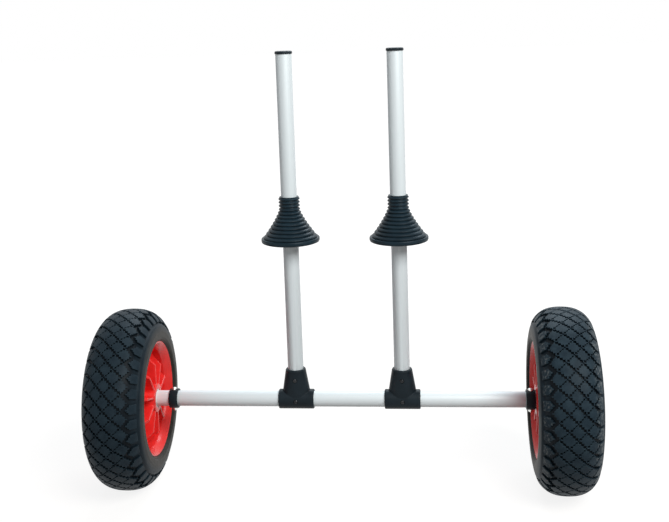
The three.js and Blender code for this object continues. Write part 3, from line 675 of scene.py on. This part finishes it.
# %% Stop collars
collar_radius, collar_half, collar_edge = 14, 6.25, 0.8
flat_length, flat_cut, bolt_seat = 8.4, 1, 13.6
bolt_radius, bolt_head, bolt_top, bolt_end = 2, 3.8, 16.3, -18
nut_bore, nut_corner, nut_end, lock_radius, lock_end = 2.1, 4.04, -16, 2.95, -17.2
bolt_outline = [(0, bolt_end), (1.5, bolt_end), (bolt_radius, -17.5), (bolt_radius, bolt_seat),
                (bolt_head, bolt_seat), (bolt_head, 14.5), (3.5, 15.3), (2.8, 15.95), (1.8, 16.25),
                (0, bolt_top)]
for side, sign in outward.items():
    for place, reach in collar_reach.items():
        x = middle + sign * reach
        centre = (x, 0, axle_height)
        name = side + "_" + place
        collar_ring = ring(snug_bore, collar_radius, -collar_half, collar_half)
        collar = spun(name + "_stop", collar_ring, "X", centre, 96, collar_edge, 3)
        for up_or_down in (-1, 1):
            edge = (x, 0, axle_height + up_or_down * collar_radius)
            carve(collar, bar("flat", (flat_length, 2 * collar_radius, flat_cut), edge))
        drill(collar, bolt_hole, nut_end, -nut_end, "Z", centre)
        fit(collar, "frame", "black_plastic", black_plastic, name + "_collar")
        bolt = spun(name + "_bolt", bolt_outline, "Z", centre, 40)
        cross_cut(bolt, (x, 0, axle_height + bolt_top), "Z")
        fit(bolt, "frame", "hardware", zinc, name + "_collar_bolt")
        nut = spun(name + "_nut", ring(nut_bore, nut_corner, nut_end, -bolt_seat), "Z", centre, 6, 0.25)
        lock_ring = spun("lock_ring", ring(nut_bore, lock_radius, lock_end, -15.8), "Z", centre, 32, 0.3)
        carve(nut, lock_ring, "UNION")
        fit(nut, "frame", "hardware", zinc, name + "_collar_nut")

# %% [markdown]
# ## Wheels
# Both wheels are the same, and the left one is turned half round so that its valve also faces outwards. Each
# part of a wheel is modelled as the right wheel's and copied to the left with a half turn about a vertical
# line.

# %% Helpers for both wheels


def for_left_wheel(piece, name):
    copy = twin(piece, name, (0, 0, 0))
    there = Matrix.Translation(Vector((wheel_x["left"], 0, 0)) * mm)
    home = Matrix.Translation(Vector((-wheel_x["right"], 0, 0)) * mm)
    copy.data.transform(there @ Matrix.Rotation(math.pi, 4, "Z") @ home)
    return copy


def fit_both(piece, kind, body, slot, finish, node, angle=35):
    """Fits the right wheel's piece and a copy of it for the left wheel."""
    fit(for_left_wheel(piece, "left_" + kind), "left_" + body, slot, finish, "left_" + node, angle=angle)
    fit(piece, "right_" + body, slot, finish, "right_" + node, angle=angle)


hub_centre = (wheel_x["right"], 0, axle_height)
print("right hub at", hub_centre)

# %% [markdown]
# The rim is one glossy moulding: a drop-centre barrel between two lips, a thin web, a hub that reaches
# further inboard than outboard, and ten ribs that stand on both sides of the web and fall away towards the
# lip. The round part is turned, and its barrel is the same on both sides of the web.

# %% Rim barrel, web and hub
hub_bore, shoulder_bore, hub_radius, web_half = 13.56, 12.3, 20, 2.5
hub_inboard, hub_outboard, bush_stop_inboard, bush_stop_outboard = -38, 21, -19.3, 2.3
well_radius, rim_radius, lip_reach = 71, 81.8, -38.5
inboard_hub = [(hub_bore, hub_inboard), (19.0, hub_inboard), (19.7, -37.7), (hub_radius, -37), (20.4, -4.6),
               (20.9, -3.3), (22.2, -web_half)]
inboard_barrel = [(68.8, -web_half), (70.1, -3.1), (70.6, -4.4), (well_radius, -27.6), (71.4, -29.4),
                  (79.6, -38.1), (80.3, lip_reach), (81.2, lip_reach), (81.7, -38.2), (rim_radius, -37.6),
                  (rim_radius, -33.4), (81.4, -33), (78.9, -33), (78.4, -32.5), (78.4, -22), (77.9, -21.3),
                  (75.5, -20), (75, -19.4)]
outboard_barrel = [(radius, -height) for radius, height in reversed(inboard_barrel)]
outboard_hub = [(22.2, web_half), (20.9, 3.3), (20.4, 4.6), (hub_radius, 20), (19.7, 20.7),
                (19, hub_outboard), (hub_bore, hub_outboard), (hub_bore, bush_stop_outboard),
                (shoulder_bore, bush_stop_outboard), (shoulder_bore, bush_stop_inboard),
                (hub_bore, bush_stop_inboard)]
rim_outline = inboard_hub + inboard_barrel + outboard_barrel + outboard_hub
rim = spun("right_rim_body", rim_outline, "X", hub_centre, 96)
print("rim turned, faces", len(rim.data.polygons))

# %% [markdown]
# A rib is nearly as high as the hub over the inner half of its length and then slopes down to the barrel. It
# is lofted through sections from the hub outwards, with a rounded crest and a small flare wherever it meets
# the web, the hub or the barrel. One rib is made, copied ten times round the axle and joined on.

# %% Ribs
rim_ribs, rib_half, rib_draft, crest_round = 10, 2.0, 0.01, 1.8
crest_inboard, crest_outboard, crest_reach, crest_end, rib_slope_length = 37, 20, 50, 14, 22.5
flare_height, flare_reach = 1.6, 2.6
flare_stations = [-5.1, -3.8, -3, -web_half, 0, web_half, 3, 3.8, 5.1]


def crest(radius, flat):
    """How far from the middle of the web the rib's crest lies."""
    if radius < crest_reach:
        return flat
    return flat + (crest_end - flat) * (radius - crest_reach) / rib_slope_length


def rib_half_thickness(x, radius, top):
    """Half the rib's thickness: tapered, rounded at the crest and flared at its three feet."""
    from_crest, from_web = max(0.0, top - abs(x)), max(0.0, abs(x) - web_half)
    rounding_left = crest_round - min(from_crest, crest_round)
    half = rib_half + rib_draft * from_crest
    half -= crest_round - math.sqrt(max(0.0, crest_round ** 2 - rounding_left ** 2))
    for distance in (from_web, abs(radius - hub_radius), abs(well_radius - radius)):
        half += flare_height * max(0.0, 1 - distance / flare_reach) ** 2
    return half


def crest_stations(top, foot):
    """Places along a section from the crest at top down to the flare that starts at foot."""
    drop, down = foot - top, math.copysign(1, foot - top)
    return [top, top + down * 0.35, top + down * 1.1, top + drop * 0.25, top + drop * 0.6]


def rib_section(radius):
    inboard, outboard = -crest(radius, crest_inboard), crest(radius, crest_outboard)
    stations = crest_stations(inboard, flare_stations[0]) + flare_stations
    stations += reversed(crest_stations(outboard, flare_stations[-1]))
    upper = [(x, rib_half_thickness(x, radius, -inboard if x < 0 else outboard)) for x in stations]
    loop = upper + [(x, -half) for x, half in reversed(upper)]
    return [(hub_centre[0] + x, half, axle_height + radius) for x, half in loop]


def turned_about_axle(piece, angle):
    """Turns the piece's mesh about the axle."""
    axis_point = Vector(hub_centre) * mm
    turn = Matrix.Rotation(angle, 4, "X")
    piece.data.transform(Matrix.Translation(axis_point) @ turn @ Matrix.Translation(-axis_point))
    return piece


rib_radii = [18.5, hub_radius, 20.6, 21.4, 22.6, 30, 40, 48, crest_reach, 52, 60, 66, 68.4, 69.4, 70.2,
             well_radius, 72.5]
first_rib = lofted("rib", [rib_section(radius) for radius in rib_radii])
for count in range(rim_ribs):
    rib = turned_about_axle(twin(first_rib, "rib", (0, 0, 0)), count * math.tau / rim_ribs)
    carve(rim, rib, "UNION")
bpy.data.objects.remove(first_rib, do_unlink=True)
print("ribs joined on:", rim_ribs)

# %% [markdown]
# The valve comes through the barrel between two ribs, outboard of the web. Its hole is cut with an upright rod
# that is first turned about the axle to the valve's place, and the valve's own pieces are turned alike.

# %% Valve hole
valve_angle, valve_side, valve_hole_radius = math.radians(15), 11, 4.55
below_barrel, above_barrel = 60, 83
valve_centre = (hub_centre[0] + valve_side, 0, axle_height)
valve_hole = spun("valve_hole", rod(valve_hole_radius, below_barrel, above_barrel), "Z", valve_centre, 40)
carve(rim, turned_about_axle(valve_hole, valve_angle))
fit_both(rim, "rim_body", "wheel", "rim", rim_red, "rim", angle=32)

# %% [markdown]
# Plain plastic bushes line both ends of the hub and run on the axle. They slide along the axle with the wheel
# but needn't turn with it, so they have a body of their own.

# %% Hub bushes
bush_radius, bush_length = 13.5, 18
bush_start = {"inner": -37.6, "outer": 2.6}
for place, low in bush_start.items():
    bush_ring = ring(sleeve_bore, bush_radius, low, low + bush_length)
    bush = spun("right_" + place + "_hub_bush", bush_ring, "X", hub_centre, 72, 0.4)
    fit_both(bush, place + "_hub_bush", "bushes", "bush", bush_plastic, place + "_bush")

# %% [markdown]
# The inner tube doesn't show, and the plain piece has the right form, so it stays and only gets its rubber.
# A valve has a broad foot inside the rim, a brass stem with a few threads, and a black cap screwed onto it.

# %% Inner tubes and valves
for side in outward:
    inner_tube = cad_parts[side + "_inner_tube"]
    for slot in inner_tube.material_slots:
        slot.material = tube_rubber
stem_bore, stem_tip, stem_foot, foot_radius, body_radius = 1.3, 54.2, 78.2, 6, 4.25
thread_total, thread_root, thread_crest, thread_pitch = 6, 2.3, 2.6, 1.2
stem_outline = [(stem_bore, stem_foot), (stem_bore, stem_tip), (thread_root, stem_tip), (thread_crest, 54.6)]
for thread in range(thread_total):
    along = thread * thread_pitch
    stem_outline += [(thread_crest, 54.9 + along), (thread_root, 55.5 + along)]
stem_outline += [(thread_crest, 62.15), (4.0, 62.2), (body_radius, 62.6), (body_radius, 77.0),
                 (foot_radius, 77.0), (foot_radius, stem_foot)]
cover_radius, cover_bore, cover_top, cover_end = 4, 2.7, 53.1, 62.1
cover_outline = [(0, cover_top), (2.8, cover_top), (3.6, 53.4), (cover_radius, 54.1), (cover_radius, 61.3),
                 (3.7, cover_end), (cover_bore, cover_end), (cover_bore, 54.1), (0, 54.1)]
for name, outline, slot, finish in (("valve_stem", stem_outline, "valve_brass", brass),
                                    ("valve_cap", cover_outline, "black_plastic", black_plastic)):
    part = turned_about_axle(spun("right_" + name + "_piece", outline, "Z", valve_centre, 40), valve_angle)
    fit_both(part, name + "_piece", "wheel", slot, finish, name)

# %% [markdown]
# ## Tyres
# The tyre is a casing with a block tread. Its section follows a flattened oval. A table along that oval,
# measured from the crown, gives the place and the direction of the surface at any distance to the side. It
# serves both the casing and the wrapping of the blocks.

# %% The tyre's section
tread_radius, widest_radius, half_width, power = 129.0, 88.05, 42.5, 2.4
crown_rise = tread_radius - widest_radius
tread_depth, tread_side, fade_length = 3.2, 51.5, 6.5
angles = np.linspace(0, math.pi / 2, 4001)
table_w = half_width * np.sin(angles) ** (2 / power)
table_r = widest_radius + crown_rise * np.cos(angles) ** (2 / power)
table_s = np.concatenate([[0], np.cumsum(np.hypot(np.diff(table_w), np.diff(table_r)))])
slope = np.arctan2(-np.gradient(table_r, table_s), np.gradient(table_w, table_s))


def fade(s):
    """1 on the crown and 0 on the sidewall: how deep the tread is there."""
    share = np.clip((tread_side - np.abs(s)) / fade_length, 0, 1)
    return share * share * (3 - 2 * share)


def on_section(s, height):
    """Width and radius at s mm from the crown along the section and height mm above its surface."""
    lean = np.interp(np.abs(s), table_s, slope)
    w = np.interp(np.abs(s), table_s, table_w) + height * np.sin(lean)
    return w * np.where(s < 0, -1, 1), np.interp(np.abs(s), table_s, table_r) + height * np.cos(lean)


print("from crown to widest point:", round(float(table_s[-1]), 1), "mm")

# %% [markdown]
# The casing is turned. Between the shoulders it lies one tread depth below the blocks' tops. A thin moulding
# ring runs round each sidewall, and another stands beside the rim, as is usual on tyres.

# %% Tyre casing
wall_drop, ring_height, ring_half, ring_place = 0.3, 0.35, 1.1, 60.5
hollow_rise, hollow_half = 33.95, 38.0
bead = [(78.7, 21.5), (78.7, 32.2), (79.4, 32.9), (82.1, 32.9), (82.1, 38.6), (84.2, 40.9), (84.6, 41.55),
        (85.2, 41.6), (85.6, 41.3), (87.1, 42.2)]
flank_s = list(np.linspace(float(table_s[-1]), 52, 12))
flank_s += [50.5, 49.3, 48.2, 47.2, 46.2, 45]
flank_s += list(np.linspace(42.5, 0, 18))
half = list(bead)
for s in flank_s:
    moulding = ring_height * max(0.0, 1 - abs(s - ring_place) / ring_half) - wall_drop
    w, r = on_section(np.float64(s), moulding - (tread_depth - wall_drop) * fade(s))
    half.append((float(r), float(w)))
hollow = []
for t in np.linspace(0, math.pi / 2, 13):
    hollow_r = widest_radius + hollow_rise * math.cos(t) ** (2 / power)
    hollow.append((hollow_r, hollow_half * math.sin(t) ** (2 / power)))
casing_outline = half + [(r, -w) for r, w in reversed(half[:-1])]
casing_outline += [(r, -w) for r, w in reversed(hollow[1:])] + hollow
casing = spun("right_tyre_body", casing_outline, "X", hub_centre, 136)
print("casing turned, faces", len(casing.data.polygons))

# %% [markdown]
# The tread repeats 36 times round the tyre. It is a lattice of diamonds, cut by two sets of thin slanting
# grooves, with V notches along every edge that face each other across the groove and look like a chain of
# dark dots. A pointed lug stands on each shoulder. Neighbours share the corners of the lattice, and each
# block is then drawn in by half a groove, which keeps the grooves even. The plan is drawn flat at the pitch
# measured on the photograph, then squeezed a little so that a whole number of pitches goes round.

# %% Outlines of one pitch
pitch_total, drawn_pitch = 36, 23.1
pitch = math.tau * tread_radius / pitch_total
next_pitch = Vector((0, drawn_pitch))
groove_width, falling_inset, notch_margin, lug_side = 0.6, 0.3, 0.8, 45.4
falling_notches, rising_notches, lug_notches = (1.9, 1.9, 1.9), (1.7, 0.9, 1.0), (1.3, 1.3)
left_end, left_cross, low_cross = Vector((-31, 3.5)), Vector((-20.6, 14.6)), Vector((-7.6, 3))
mid_cross, right_low = Vector((3.6, 14.6)), Vector((14.1, 3))
right_cross, right_end = Vector((25.6, 14.6)), Vector((36, 5.5))


def notched(start, end, depths):
    """A block's edge with V notches of these depths on its left-hand side. The end point is left out."""
    onward = (end - start).normalized()
    inward = Vector((-onward.y, onward.x))
    line = [start]
    for count, depth in enumerate(depths):
        notch = start.lerp(end, (count + notch_margin) / (len(depths) - 1 + 2 * notch_margin))
        line += [notch - onward * depth, notch + inward * depth, notch + onward * depth]
    return line


def edge_notches(start, end):
    """Deep notches all along a falling edge. A rising edge has one deep notch, at its lower end."""
    if (end.x - start.x) * (end.y - start.y) < 0:
        return falling_notches
    return rising_notches if end.x > start.x else rising_notches[::-1]


def diamond(*corners):
    """A block's outline, counter-clockwise. Its two falling edges stand a little further in."""
    centre, across = sum(corners, Vector((0, 0))) / 4, Vector((1, 1)).normalized()
    inset = []
    for corner in corners:
        inset.append(corner - across * math.copysign(falling_inset, (corner - centre).dot(across)))
    outline = []
    for start, end in zip(inset, inset[1:] + inset[:1]):
        outline += notched(start, end, edge_notches(start, end))
    return outline


def lug(first, nose, last):
    """A shoulder lug: two notched edges meet at its nose, and two straight faces run out to the side."""
    reach = math.copysign(lug_side, nose.x)
    outer = [last, Vector((reach, last.y)), Vector((reach, first.y))]
    return notched(first, nose, lug_notches) + notched(nose, last, lug_notches) + outer


outlines = {
    "left_diamond": diamond(left_end, left_cross - next_pitch, low_cross, left_cross),
    "large_left": diamond(left_cross, low_cross, mid_cross, low_cross + next_pitch),
    "middle_diamond": diamond(low_cross, mid_cross - next_pitch, right_low, mid_cross),
    "large_right": diamond(mid_cross, right_low, right_cross, right_low + next_pitch),
    "right_diamond": diamond(right_low, right_cross - next_pitch, right_end, right_cross),
    "left_lug": lug(Vector((-34, 6.4)), Vector((-26.6, 14.2)), Vector((-33.4, 21))),
    "right_lug": lug(Vector((36.6, 27.6)), Vector((27.8, 15.8)), Vector((36.8, 8.8))),
}
print("outlines", len(outlines), "pitch", round(pitch, 2), "mm")

# %% [markdown]
# A block is its outline, filled, drawn in and pulled up, with a small slant round its top. The lugs already
# stand clear of their neighbours and aren't drawn in. The faces are then cut in both directions, because a
# long face can't follow the tyre's curve when it is wrapped.

# %% Blocks of one pitch
block_foot, top_slant_width, top_slant_drop = 0.5, 0.4, 0.35
first_cut_across, cut_step_across, first_cut_along, cut_step_along = 2.5, 3.2, 3, 6


def tread_block(name, outline, draw_in):
    """A block on the flat strip: x is the distance to the side, y along the strip and z the height, in mm."""
    bpy.ops.object.select_all(action="DESELECT")
    bpy.ops.mesh.primitive_circle_add(vertices=len(outline), radius=1)
    block = bpy.context.object
    block.name = name
    for vertex, point in zip(block.data.vertices, outline):
        vertex.co = (point.x, point.y * pitch / drawn_pitch, -block_foot)
    xs, ys = [point.x for point in outline], [point.y for point in outline]
    bpy.ops.object.mode_set(mode="EDIT")
    bpy.ops.mesh.select_all(action="SELECT")
    bpy.ops.mesh.edge_face_add()
    if draw_in:
        bpy.ops.mesh.inset(thickness=draw_in)
        bpy.ops.mesh.select_all(action="INVERT")
        bpy.ops.mesh.delete(type="VERT")
        bpy.ops.mesh.select_all(action="SELECT")
    rise = block_foot + tread_depth - top_slant_drop
    bpy.ops.mesh.extrude_region_move(TRANSFORM_OT_translate={"value": (0, 0, rise)})
    bpy.ops.mesh.inset(thickness=top_slant_width)
    bpy.ops.transform.translate(value=(0, 0, top_slant_drop))
    for x in np.arange(min(xs) + first_cut_across, max(xs), cut_step_across):
        bpy.ops.mesh.select_all(action="SELECT")
        bpy.ops.mesh.bisect(plane_co=(x, 0, 0), plane_no=(1, 0, 0))
    for y in np.arange(min(ys) + first_cut_along, max(ys), cut_step_along):
        bpy.ops.mesh.select_all(action="SELECT")
        bpy.ops.mesh.bisect(plane_co=(0, y, 0), plane_no=(0, 1, 0))
    bpy.ops.mesh.select_all(action="SELECT")
    bpy.ops.mesh.normals_make_consistent(inside=False)
    bpy.ops.object.mode_set(mode="OBJECT")
    return block


blocks = []
for name, outline in outlines.items():
    blocks.append(tread_block(name, outline, 0 if "lug" in name else groove_width / 2))
print("blocks in one pitch:", len(blocks))

# %% [markdown]
# An Array modifier repeats the pitch along a flat strip. Each point of the strip is then put on the tyre:
# its distance to the side goes along the section, its place along the strip becomes a turn about the axle,
# and its height stands square to the surface. The attributes mark the tops before the strip is wrapped.

# %% Repeat the pitch and wrap it round the tyre
join_into(blocks[0], blocks[1:])
tread = blocks[0]
tread.name = tread.data.name = "tread"
row = tread.modifiers.new("row", "ARRAY")
row.count = pitch_total
row.use_relative_offset = False
row.use_constant_offset = True
row.constant_offset_displace = (0, pitch, 0)
bpy.ops.object.modifier_apply(modifier=row.name)


def read_points(mesh):
    points = np.empty(len(mesh.vertices) * 3)
    mesh.vertices.foreach_get("co", points)
    return points.reshape(-1, 3)


def mark(mesh, name, values):
    attribute = mesh.attributes.new(name, "FLOAT", "POINT")
    attribute.data.foreach_set("value", np.asarray(values, dtype=np.float32))


tread_shift, foot_sink, lug_start, lug_blend = 2, 0.2, 27, 6
groove_shade_fade_start, groove_shade_fade_length, dust_start, dust_rise = 1.6, 1.4, 2.9, 0.2
flat = read_points(tread.data)
s, along, height = flat[:, 0], flat[:, 1], flat[:, 2]
on_lug = np.clip((np.abs(s) - lug_start) / lug_blend, 0, 1)
# 0 low in a groove, where its shade is painted as a darker colour, up to 1 on a block's scuffed top.
mark(tread.data, "scuff_and_groove_shade", np.clip((height - groove_shade_fade_start) / groove_shade_fade_length, 0, 1))
mark(tread.data, "dust", np.clip((height - dust_start) / dust_rise, 0, 1) * on_lug)
w, r = on_section(s, (height - tread_depth) * fade(s) - np.where(height < 0, foot_sink, 0.0))
turned = along / tread_radius + tread_shift / tread_radius
wrapped = np.stack([hub_centre[0] + w, -r * np.cos(turned), axle_height + r * np.sin(turned)], axis=1) * mm
tread.data.vertices.foreach_set("co", wrapped.ravel())
tread.data.update()
print("tread points:", len(wrapped))

# %% [markdown]
# The casing gets its own values of the first attribute, darkest under the blocks, where the grooves' shade
# is painted, and greyer down the sidewall, and takes in the tread. The left tyre's blocks are darker than
# the right one's, so its copy loses the dust and a part of the scuffed top tone.

# %% Tyres
groove_reach, wall_blend, wall_top_tone_share, left_top_tone_share = 118, 8, 0.55, 0.78
points = read_points(casing.data) / mm
out = np.hypot(points[:, 1], points[:, 2] - axle_height)
# 0 on the casing under the blocks, where the grooves' shade is painted dark, rising to a share on the sidewall.
mark(casing.data, "scuff_and_groove_shade", np.clip((groove_reach - out) / wall_blend, 0, wall_top_tone_share))
join_into(casing, [tread])
left_tyre = for_left_wheel(casing, "left_tyre_body")
left_tyre.data.attributes.remove(left_tyre.data.attributes["dust"])
left_tone_values = np.empty(len(left_tyre.data.vertices), dtype=np.float32)
left_tyre.data.attributes["scuff_and_groove_shade"].data.foreach_get("value", left_tone_values)
# The left tyre's block tops are darkened by this share.
left_tyre.data.attributes["scuff_and_groove_shade"].data.foreach_set("value", left_tone_values * left_top_tone_share)
fit(left_tyre, "left_wheel", "tyre", tyre_rubber, "left_tyre", angle=32)
fit(casing, "right_wheel", "tyre", tyre_rubber, "right_tyre", angle=32)
